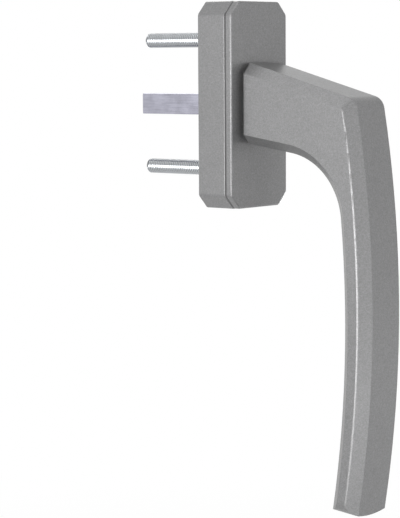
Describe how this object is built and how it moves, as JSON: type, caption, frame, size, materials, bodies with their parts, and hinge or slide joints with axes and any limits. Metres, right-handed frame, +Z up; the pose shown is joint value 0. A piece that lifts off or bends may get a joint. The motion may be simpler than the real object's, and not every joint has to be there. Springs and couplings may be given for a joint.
{
  "type": "balcony door pull handle",
  "caption": "Turning pull handle for a balcony door: bowed, bevelled grip on a narrow rosette with cut corners, with its square spindle and countersunk screws.",
  "frame": {"origin": "where the spindle's axis meets the face of the door, at the back of the rosette", "axes": "+Y into the door along the spindle, -Y into the room, +Z up, grip hanging down"},
  "size_m": [0.0302, 0.0991, 0.1655],
  "materials": {
    "painted_lever": "metallic grey powder paint on cast aluminium",
    "painted_cover": "metallic grey powder paint",
    "painted_rosette": "metallic grey powder paint on die-cast zinc",
    "grey_nylon": "moulded",
    "white_nylon": "moulded",
    "zinc_steel": "zinc plated",
    "spring_steel": "oiled",
    "cam_steel": "sintered",
    "plated_spindle": "bright plated",
    "zinc_screws": "bright zinc plated"
  },
  "bodies": {
    "rosette": {"rosette_base": "painted_rosette", "bearing_bush": "white_nylon", "thrust_washer": "zinc_steel", "detent_spring_left": "spring_steel", "detent_spring_right": "spring_steel", "mounting_screws": "zinc_screws"},
    "handle": {"lever": "painted_lever", "detent_cam": "cam_steel", "retaining_washer": "zinc_steel", "retaining_ring": "spring_steel"},
    "spindle": {"spindle": "plated_spindle"},
    "cover_ring": {"cover_ring": "grey_nylon"},
    "cover_plate": {"cover_plate": "painted_cover"}
  },
  "joints": [
    {"name": "lever_turn", "type": "hinge", "parent": "rosette", "child": "handle", "pos_m": [0, 0, 0], "axis": [0, 1, 0], "continuous": true, "deforming": ["detent_spring_left", "detent_spring_right"]},
    {"name": "spindle_pull", "type": "slide", "parent": "handle", "child": "spindle", "axis": [0, 1, 0], "range_m": [0, 0.03]},
    {"name": "cover_lift", "type": "slide", "parent": "rosette", "child": "cover_ring", "axis": [0, -1, 0], "range_m": [0, 0.0012]},
    {"name": "cover_turn", "type": "hinge", "parent": "cover_ring", "child": "cover_plate", "pos_m": [0, 0, 0], "axis": [0, 1, 0], "range_deg": [-90, 90]}
  ]
}
